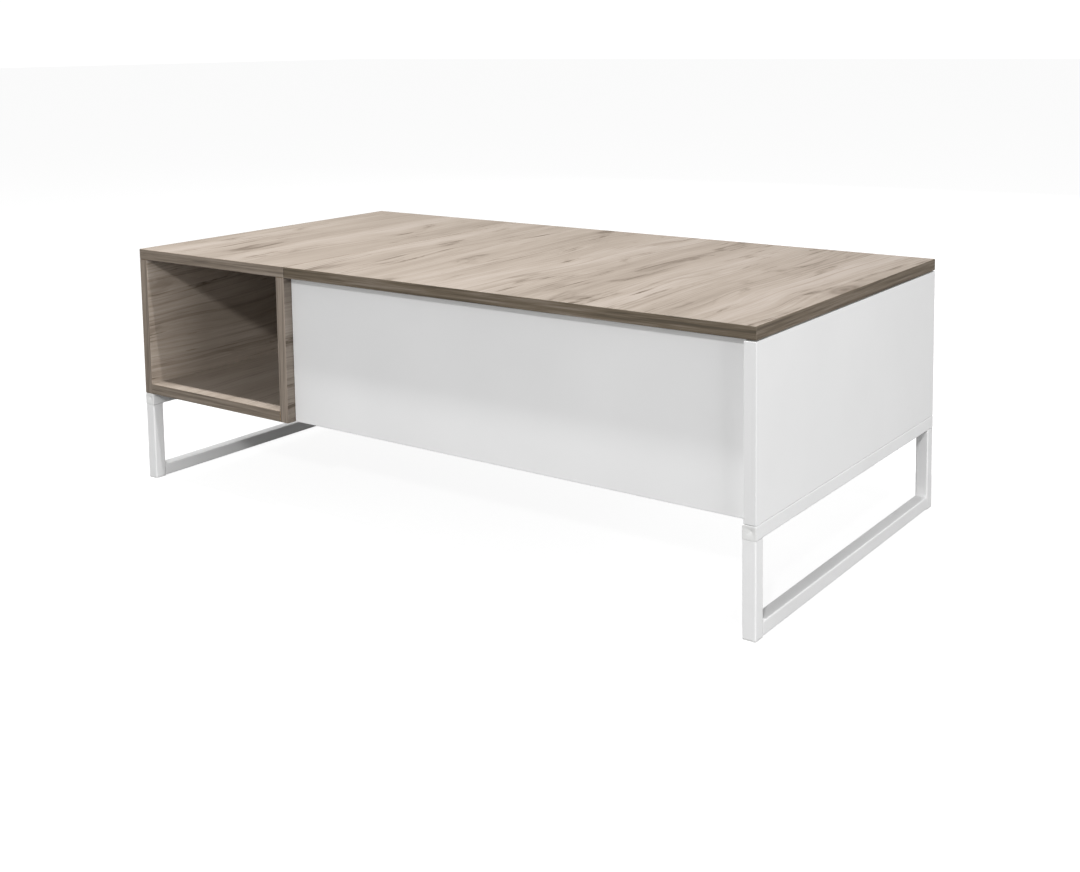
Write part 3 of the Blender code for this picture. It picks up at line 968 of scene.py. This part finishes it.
def build_frame(side, beads):
    """One sled frame: top rail, two legs and bottom rail, welded and coated as one."""
    own = settings().frames
    shape = bmesh.new()
    top_low, top_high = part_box(f"{side}_top_rail")
    rail_x = (top_low.x + top_high.x) / 2
    rail_z = (top_low.z + top_high.z) / 2
    add_tube(shape, (rail_x, top_low.y, rail_z), (rail_x, top_high.y, rail_z), own.corner_round)
    low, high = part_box(f"{side}_bottom_rail")
    sill_z = (low.z + high.z) / 2
    # The legs meet the rail above, and the bottom rail runs a little way into both legs.
    sunk = 0.0003
    add_tube(
        shape, (rail_x, low.y - sunk, sill_z), (rail_x, high.y + sunk, sill_z), own.corner_round
    )
    legs = {}
    for end in ("front", "back"):
        low_leg, high_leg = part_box(f"{side}_{end}_leg")
        legs[end] = (low_leg + high_leg) / 2
        add_tube(
            shape, (rail_x, legs[end].y, low_leg.z), (rail_x, legs[end].y, top_low.z),
            own.corner_round,
        )
    nodes = [f"{side}_{part}" for part in ("top_rail", "bottom_rail", "front_leg", "back_leg")]
    mesh = as_mesh(f"{side}_frame", shape, (powder_coat(),), smooth=35)
    add_piece(f"{side}_sled_frame", mesh, "carcass", nodes)

    # Beads run across the tube in the four inner corners, short of its rounded edges.
    reach = TUBE / 2 - own.corner_round
    sink = own.bead * 0.25
    for end, toward in (("front", 1), ("back", -1)):
        y = legs[end].y + toward * (TUBE / 2 + sink)
        for z in (top_low.z - sink, low.z + TUBE + sink):
            beads.append([Vector((rail_x - reach, y, z)), Vector((rail_x + reach, y, z))])


def build_frames():
    """Both sled frames, and the weld beads in their inner corners."""
    beads = []
    for side in SIDES:
        build_frame(side, beads)
    values = {
        "Half width": settings().frames.bead, "Ripple": 0.0010, "Seed": 7,
        "Material": powder_coat(),
    }
    mesh = grown(path_mesh(beads), bead_tree(), values)
    add_piece("weld_beads", mesh, "carcass")


def plug_mesh(node_name, outward, up):
    """A moulded plug: ribbed body in the tube, a head as wide as the tube and a gate dimple."""
    low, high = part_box(node_name)
    outward, up = Vector(outward), Vector(up)
    right = up.cross(outward)
    axis = max(range(3), key=lambda i: abs(outward[i]))
    face = (low + high) / 2
    face[axis] = high[axis] if outward[axis] > 0 else low[axis]
    depth = high[axis] - low[axis]
    head, ease, clearance = 0.0015, 0.0006, 0.0004
    half, corner, body_corner = TUBE / 2, settings().frames.corner_round, 0.0014
    inside = half - TUBE_WALL - clearance
    rings = []

    def ring(points, along):
        rings.append([face + right * p.x + up * p.y - outward * along for p in points])

    # The body starts with a lead-in and carries three grip ribs.
    ring(rounded_square(inside - 0.0006, 0.0012), depth)
    ring(rounded_square(inside - 0.0002, body_corner), depth - 0.0010)
    for i in range(3):
        at = depth - 0.0022 - i * 0.0024
        for step, grow in ((0.0, -0.0004), (-0.0005, 0.0), (-0.0010, -0.0004)):
            ring(rounded_square(inside + grow, body_corner), at + step)
    ring(rounded_square(inside - 0.0004, body_corner), head)
    # The head's underside has a 0.2 mm break, and its outer face is eased all round.
    ring(rounded_square(half - 0.0002, corner), head)
    ring(rounded_square(half, corner), head - 0.0002)
    for i in range(5):
        angle = i * math.pi / 8
        size = half - ease * (1 - math.cos(angle))
        ring(rounded_square(size, corner), ease * (1 - math.sin(angle)))
    edge = rounded_square(half - ease, corner)
    ring([point * 0.93 for point in edge], 0.0)
    # The mould's gate leaves a shallow round dimple towards one corner: (share of radius, depth).
    gate, radius = Vector((0.0030, 0.0032)), 0.0015
    for share, sunk in ((1.12, 0.0), (1.0, 0.00008), (0.86, 0.0004), (0.5, 0.0006), (0.1, 0.00065)):
        ring([gate + point.normalized() * radius * share for point in edge], sunk)
    shape = bmesh.new()
    add_rings(shape, rings)
    bmesh.ops.recalc_face_normals(shape, faces=shape.faces)
    return as_mesh(node_name, shape, (moulded_plastic(),), smooth=32)


def build_plugs():
    """Caps in the rail ends and glides in the leg ends."""
    for side in SIDES:
        for end, toward in (("front", -1.0), ("back", 1.0)):
            name = f"{side}_rail_cap_{end}"
            mesh = plug_mesh(name, (0.0, toward, 0.0), (0.0, 0.0, 1.0))
            add_piece(name + "_plug", mesh, "carcass", (name,))
            name = f"{side}_{end}_foot"
            mesh = plug_mesh(name, (0.0, 0.0, -1.0), (0.0, 1.0, 0.0))
            add_piece(name + "_glide", mesh, "carcass", (name,))


def spring_ends(side):
    """The places of the two spring studs: on the main arm, then on the base plate."""
    low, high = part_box(f"{side}_spring")
    x, z = (low.x + high.x) / 2, (low.z + high.z) / 2
    return Vector((x, low.y, z)), Vector((x, high.y, z))


def add_eye(mesh, stud, inward, wire):
    """Adds a spring's end eye, a closed ring of wire round a stud, and the stud's flared tip.

    The eye takes the mesh's second material.
    """
    stretches, sides = 28, 10
    middle = Vector((stud.x - inward * EYE_OFFSET, stud.y, stud.z))
    side_way = Vector((inward, 0.0, 0.0))
    shape = bmesh.new()
    shape.from_mesh(mesh)
    before = len(shape.faces)
    rings = []
    for angle in around(stretches):
        out = Vector((0.0, math.cos(angle), math.sin(angle)))
        centre = middle + out * (EYE_CLEARANCE + wire)
        rings.append([
            centre + wire * (out * math.cos(turn) + side_way * math.sin(turn))
            for turn in around(sides)
        ])
    add_rings(shape, rings, joined=True)
    tip = [(0.0, 0.0041), (0.0003, 0.0050), (0.0010, 0.0052), (0.0014, 0.0048)]
    start = stud.x - inward * (wire + 0.0017)
    add_turned(
        shape, tip, 20,
        lambda along, u, v: Vector((start + inward * along, stud.y + u, stud.z + v)),
    )
    shape.faces.ensure_lookup_table()
    fresh = [shape.faces[i] for i in range(before, len(shape.faces))]
    bmesh.ops.recalc_face_normals(shape, faces=fresh)
    for face in fresh[: stretches * sides]:
        face.material_index = 1
    for face in fresh:
        face.smooth = True
    shape.to_mesh(mesh)
    shape.free()
    return mesh


def build_linkage():
    """Plates, arms, brackets, pivots and tie bar of the lift mechanism, and the pads' material."""
    own = settings().hardware
    black, zinc, wire = black_e_coat(), zinc_plate(), spring_wire()
    for side in SIDES:
        inward = WALLS[side][1]
        hook, anchor = spring_ends(side)
        for part, body, stud in (
            ("base_plate", "carcass", anchor),
            ("main_arm", "main_arms", hook),
            ("front_arm", f"{side}_front_arm", None),
            ("top_bracket", "lift_top", None),
        ):
            name = f"{side}_{part}"
            mesh = with_material(softened(name, own.edge_break), black, wire)
            if stud:
                mesh = add_eye(mesh, stud, inward, own.wire)
            add_piece(name + "_steel", mesh, body, (name,))
        for part, body in (
            ("rear_lower_pin", "carcass"), ("front_lower_pin", "carcass"),
            ("rear_upper_pin", "lift_top"), ("front_upper_pin", "lift_top"),
        ):
            name = f"{side}_{part}"
            mesh = pivot_mesh(name, inward)
            add_piece(name + "_rivet", with_material(mesh, zinc), body, (name,))
    bar = with_material(softened("tie_bar", 0.0008, 3), black)
    add_piece("tie_bar_steel", bar, "main_arms", ("tie_bar",))
    for name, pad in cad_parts.items():
        if name.startswith("bumper_"):
            with_material(pad.data, clear_pad())


def pivot_mesh(name, inward):
    """A shouldered rivet: collar between the plates and a peened dome with a dished middle."""
    low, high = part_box(name)
    centre = (low + high) / 2
    wall = low.x if inward > 0 else high.x
    length = high.x - low.x
    under = length - 0.0025
    collar = under - 0.0046
    # Distance from the wall, then radius: shank and collar first, the dome from under on.
    profile = [
        (0.0, 0.0044), (0.0004, 0.0050), (0.0033, 0.0050), (0.0033, 0.0081), (0.0036, 0.0085),
        (collar - 0.0003, 0.0085), (collar, 0.0081), (collar, 0.0050), (under, 0.0050),
        (under, 0.0088), (under + 0.0003, 0.0090), (length - 0.0014, 0.0088),
        (length - 0.0007, 0.0078), (length - 0.0002, 0.0060), (length, 0.0042),
        (length - 0.0004, 0.0034), (length - 0.0006, 0.0010),
    ]
    shape = bmesh.new()
    add_turned(
        shape, profile, 32,
        lambda along, u, v: Vector((wall + inward * along, centre.y + u, centre.z + v)),
    )
    bmesh.ops.recalc_face_normals(shape, faces=shape.faces)
    return as_mesh(name, shape, smooth=38)


def smooth_path(points, steps):
    """A Catmull-Rom curve through the points."""
    points = [Vector(p) for p in points]
    ends = [2 * points[0] - points[1]] + points + [2 * points[-1] - points[-2]]
    out = []
    for a, b, c, d in zip(ends, ends[1:], ends[2:], ends[3:]):
        for i in range(steps):
            t = i / steps
            out.append(
                0.5 * ((2 * b) + (c - a) * t + (2 * a - 5 * b + 4 * c - d) * t**2
                + (3 * b - a - 3 * c + d) * t**3)
            )
    return out + [points[-1]]


def build_springs():
    """The two assist springs: close coil, with a straight lead to an eye at each end."""
    own = settings().hardware
    tree = wire_tree()
    per_turn, lead = 16, 0.018
    reach = EYE_CLEARANCE + own.wire
    for side in SIDES:
        inward = WALLS[side][1]
        hook, anchor = spring_ends(side)
        eye_x = hook.x - inward * EYE_OFFSET
        coil_start, coil_end = hook.y + lead, anchor.y - lead
        steps = own.turns * per_turn
        coil = []
        for i in range(steps + 1):
            angle = -math.pi / 2 + 2 * math.pi * i / per_turn
            along = coil_start + (coil_end - coil_start) * i / steps
            coil.append(Vector((
                hook.x + own.coil * math.cos(angle), along, hook.z + own.coil * math.sin(angle)
            )))

        def lead_wire(stud, coil_y, onward):
            """From right below a stud's eye to the coil, running along onward."""
            return [
                (eye_x, stud.y, hook.z - reach),
                (
                    eye_x + inward * 0.0002, stud.y + onward * (reach + 0.001),
                    hook.z - reach * 1.05,
                ),
                (hook.x - inward * 0.0012, coil_y - onward * 0.003, hook.z - own.coil * 0.93),
            ]

        first = smooth_path([*lead_wire(hook, coil_start, 1), coil[0]], 6)
        last = smooth_path([coil[-1], *lead_wire(anchor, coil_end, -1)[::-1]], 6)
        mesh = grown(
            path_mesh([first[:-1] + coil + last[1:]]), tree,
            {"Wire radius": own.wire, "Sides": 8, "Material": spring_wire()},
        )
        piece = add_piece(
            f"{side}_assist_spring", mesh, "carcass", (f"{side}_spring",)
        )
        # The stud on the arm swings from 0.172 m to 0.128 m from the fixed stud, and each lead
        # meets its eye right below the stud, so the joint holds as the coil closes up.
        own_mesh(piece)


def build_screws():
    """Frame screws, base-plate screws, lid-bracket screws and the covers of the cam fittings."""
    tree = heads_tree()
    pan, cover = link_object("pan_head", pan_head()), link_object("cover_cap", cover_cap())
    zinc, white = zinc_plate(), moulded_plastic()
    frame_head, wood_head, cap = (0.0042, 0.0024), (0.0038, 0.0015), (0.0085, 0.0012)

    names = [f"{side}_frame_screw_{end}" for side in SIDES for end in ("front", "middle", "back")]
    in_frame = []
    for name in names:
        low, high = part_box(name)
        place = ((low.x + high.x) / 2, (low.y + high.y) / 2, low.z + frame_head[1])
        in_frame.append((place, (0, 0, -1)))
    in_plates = [
        ((wall + inward * PLATE_SURFACE, y, z), (inward, 0, 0))
        for wall, inward in WALLS.values() for y, z in PLATE_SCREWS
    ]
    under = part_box("left_top_bracket")[1].z - BRACKET_THICKNESS
    in_brackets = [
        ((wall + inward * BRACKET_SCREW_REACH, y, under), (0, 0, -1))
        for wall, inward in WALLS.values() for y in BRACKET_SCREWS
    ]
    # Each long panel is drawn to its neighbours by two cam fittings at either end.
    front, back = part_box("front_panel")[1].y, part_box("back_panel")[0].y
    from_end, heights = 0.034, (0.205, 0.350)
    in_panels = [
        ((wall + inward * from_end, y, z), (0, facing, 0))
        for y, facing in ((front, 1), (back, -1)) for wall, inward in WALLS.values()
        for z in heights
    ]
    for name, seats, template, (radius, height), seed, coat, body, slot, replaced in (
        ("frame_screw_heads", in_frame, pan, frame_head, 5, zinc, "carcass", "screw_zinc", names),
        ("base_plate_screws", in_plates, pan, wood_head, 11, zinc, "carcass", "screw_zinc", ()),
        ("lid_bracket_screws", in_brackets, pan, wood_head, 17, zinc, "lift_top", "screw_zinc", ()),
        ("cam_covers", in_panels, cover, cap, 23, white, "carcass", "white_plastic", ()),
    ):
        values = {
            "Template": template, "Radius": radius, "Height": height, "Seed": seed,
            "Material": coat,
        }
        add_piece(name, grown(seat_mesh(seats), tree, values), body, replaced)
    for made in (pan, cover):
        bpy.data.objects.remove(made)


# ---------------------------------------------------------------- studio


def area_light(name, place, toward, size, power, shape="RECTANGLE"):
    """A soft area light at a place, aimed at a point. size is (width, height)."""
    data = bpy.data.lights.new(name, "AREA")
    data.shape = shape
    data.size, data.size_y = size
    data.energy = power
    made = link_object(name, data)
    made.location = place
    aim = Vector(toward) - Vector(place)
    made.rotation_euler = aim.to_track_quat("-Z", "Y").to_euler()
    return made


@material("studio_paper")
def studio_paper(tree):
    """Pale seamless paper. It shows nearly white, with only a trace of shadow."""
    seen = node(tree, "ShaderNodeLightPath").outputs["Is Camera Ray"]
    glow = node(tree, "ShaderNodeMath", {0: seen, 1: 0.90}, operation="MULTIPLY")
    paper = node(tree, "ShaderNodeBsdfDiffuse", {"Color": grey(0.20)})
    lit = node(tree, "ShaderNodeEmission", {"Color": grey(1.0), "Strength": glow})
    both = node(tree, "ShaderNodeAddShader", {0: paper, 1: lit})
    node(tree, "ShaderNodeOutputMaterial", {"Surface": both})


def build_floor():
    shape = bmesh.new()
    bmesh.ops.create_grid(shape, x_segments=1, y_segments=1, size=40.0)
    made = link_object("studio_floor", as_mesh("floor", shape, (studio_paper(),)))


def build_world(ambient):
    """White surroundings: pure white where seen, dimmer where they only give light."""
    world = bpy.data.worlds.new("white_studio")
    world.use_nodes = True
    tree = world.node_tree
    tree.nodes.clear()
    seen = node(tree, "ShaderNodeLightPath").outputs["Is Camera Ray"]
    level = node(
        tree, "ShaderNodeMath", {0: seen, 1: 1.05 - ambient, 2: ambient}, operation="MULTIPLY_ADD"
    )
    sky = node(tree, "ShaderNodeBackground", {"Color": grey(1.0), "Strength": level})
    node(tree, "ShaderNodeOutputWorld", {"Surface": sky})
    bpy.context.scene.world = world


def build_camera():
    """A camera at standing height to the right of the front, nearly level, framed low."""
    data = bpy.data.cameras.new("camera")
    data.sensor_width = 36.0
    data.lens = 45.316
    data.shift_x = -0.0483
    data.shift_y = -0.2359
    yaw, pitch, roll = math.radians(34.93), math.radians(6.0), math.radians(-0.61)
    ahead = Vector((-math.sin(yaw), math.cos(yaw), -math.tan(pitch))) * math.cos(pitch)
    right = Vector((math.cos(yaw), math.sin(yaw), 0.0))
    up = right.cross(ahead)
    rolled_right = right * math.cos(roll) + up * math.sin(roll)
    rolled_up = up * math.cos(roll) - right * math.sin(roll)
    made = link_object("camera", data)
    turn = Matrix((rolled_right, rolled_up, -ahead)).transposed().to_4x4()
    place = (1.37510, -1.75826, 0.75859)
    made.matrix_world = Matrix.Translation(place) @ turn
    bpy.context.scene.camera = made


def build_stage():
    own = settings().stage
    build_floor()
    build_world(own.ambient)
    # The strip runs along the table just in front of it, and its lean gives the thin lit line
    # in the cubby.
    area_light(
        "overhead_strip", (-0.50, -0.52, 2.60), (-0.50, -0.30, 0.30), (2.6, 0.06), own.overhead
    )
    middle, toward, distance = Vector((0.0, 0.0, 0.25)), Vector((0.386, -0.771, 0.506)), 7.0
    area_light(
        "front_softbox", middle + toward * distance, middle, (0.4, 0.4), own.front, "DISK"
    )
    area_light("side_softbox", (4.0, -0.8, 1.10), (0.3, 0.0, 0.20), (2.0, 0.8), own.side)
    area_light("front_fill", (0.5, -4.2, 1.10), (0.0, -0.3, 0.20), (3.0, 1.6), own.fill)
    behind = area_light("back_fill", (-0.5, 4.2, 1.60), (0.0, 0.3, 0.20), (3.0, 1.6), own.back)
    # Seen at a low angle in the level top this light would whiten the oak, so it isn't mirrored.
    behind.visible_glossy = False
    build_camera()
    view = bpy.context.scene.view_settings
    view.view_transform = "Standard"
    view.look = "None"


# ---------------------------------------------------------------- operators


class TABLE_OT_oak_boards(bpy.types.Operator):
    """Builds the cubby's boards and the lift top"""

    bl_idname = "table.oak_boards"
    bl_label = "Oak Boards"

    def execute(self, context):
        build_oak_boards()
        return {"FINISHED"}


class TABLE_OT_white_boards(bpy.types.Operator):
    """Builds the white panels of the storage box"""

    bl_idname = "table.white_boards"
    bl_label = "White Boards"

    def execute(self, context):
        build_white_boards()
        return {"FINISHED"}


class TABLE_OT_sled_frames(bpy.types.Operator):
    """Builds both welded sled frames with their caps, glides and weld beads"""

    bl_idname = "table.sled_frames"
    bl_label = "Sled Frames"

    def execute(self, context):
        build_frames()
        build_plugs()
        return {"FINISHED"}


class TABLE_OT_linkage(bpy.types.Operator):
    """Builds the plates, arms and pivots of the lift mechanism"""

    bl_idname = "table.linkage"
    bl_label = "Lift Linkage"

    def execute(self, context):
        build_linkage()
        return {"FINISHED"}


class TABLE_OT_springs(bpy.types.Operator):
    """Winds the assist springs"""

    bl_idname = "table.springs"
    bl_label = "Assist Springs"

    def execute(self, context):
        build_springs()
        return {"FINISHED"}


class TABLE_OT_screws(bpy.types.Operator):
    """Sets the screws and the cam covers"""

    bl_idname = "table.screws"
    bl_label = "Screws and Covers"

    def execute(self, context):
        build_screws()
        return {"FINISHED"}


class TABLE_OT_stage(bpy.types.Operator):
    """Sets up the floor, the lights, the surroundings and the camera"""

    bl_idname = "table.stage"
    bl_label = "Studio"

    def execute(self, context):
        build_stage()
        return {"FINISHED"}


class TABLE_PT_panel(bpy.types.Panel):
    """The table's operators and sizes"""

    bl_label = "Lift-top Coffee Table"
    bl_idname = "TABLE_PT_panel"
    bl_space_type = "VIEW_3D"
    bl_region_type = "UI"
    bl_category = "Coffee Table"

    def draw(self, context):
        for operator in OPERATORS:
            self.layout.operator(operator.bl_idname)
        for group in ("boards", "frames", "hardware", "stage"):
            box = self.layout.box()
            own = getattr(context.scene.lift_table, group)
            for name in own.__annotations__:
                box.prop(own, name)


OPERATORS = (
    TABLE_OT_stage,
    TABLE_OT_oak_boards,
    TABLE_OT_white_boards,
    TABLE_OT_sled_frames,
    TABLE_OT_linkage,
    TABLE_OT_springs,
    TABLE_OT_screws,
)
CLASSES = (
    BoardSettings, FrameSettings, HardwareSettings, StageSettings, TableSettings,
    *OPERATORS, TABLE_PT_panel,
)


def register():
    for item in CLASSES:
        bpy.utils.register_class(item)
    bpy.types.Scene.lift_table = PointerProperty(type=TableSettings)


def unregister():
    del bpy.types.Scene.lift_table
    for item in reversed(CLASSES):
        bpy.utils.unregister_class(item)


def main():
    register()
    bpy.ops.table.stage()
    bpy.ops.table.oak_boards()
    bpy.ops.table.white_boards()
    bpy.ops.table.sled_frames()
    bpy.ops.table.linkage()
    bpy.ops.table.springs()
    bpy.ops.table.screws()


if __name__ == "__main__":
    main()
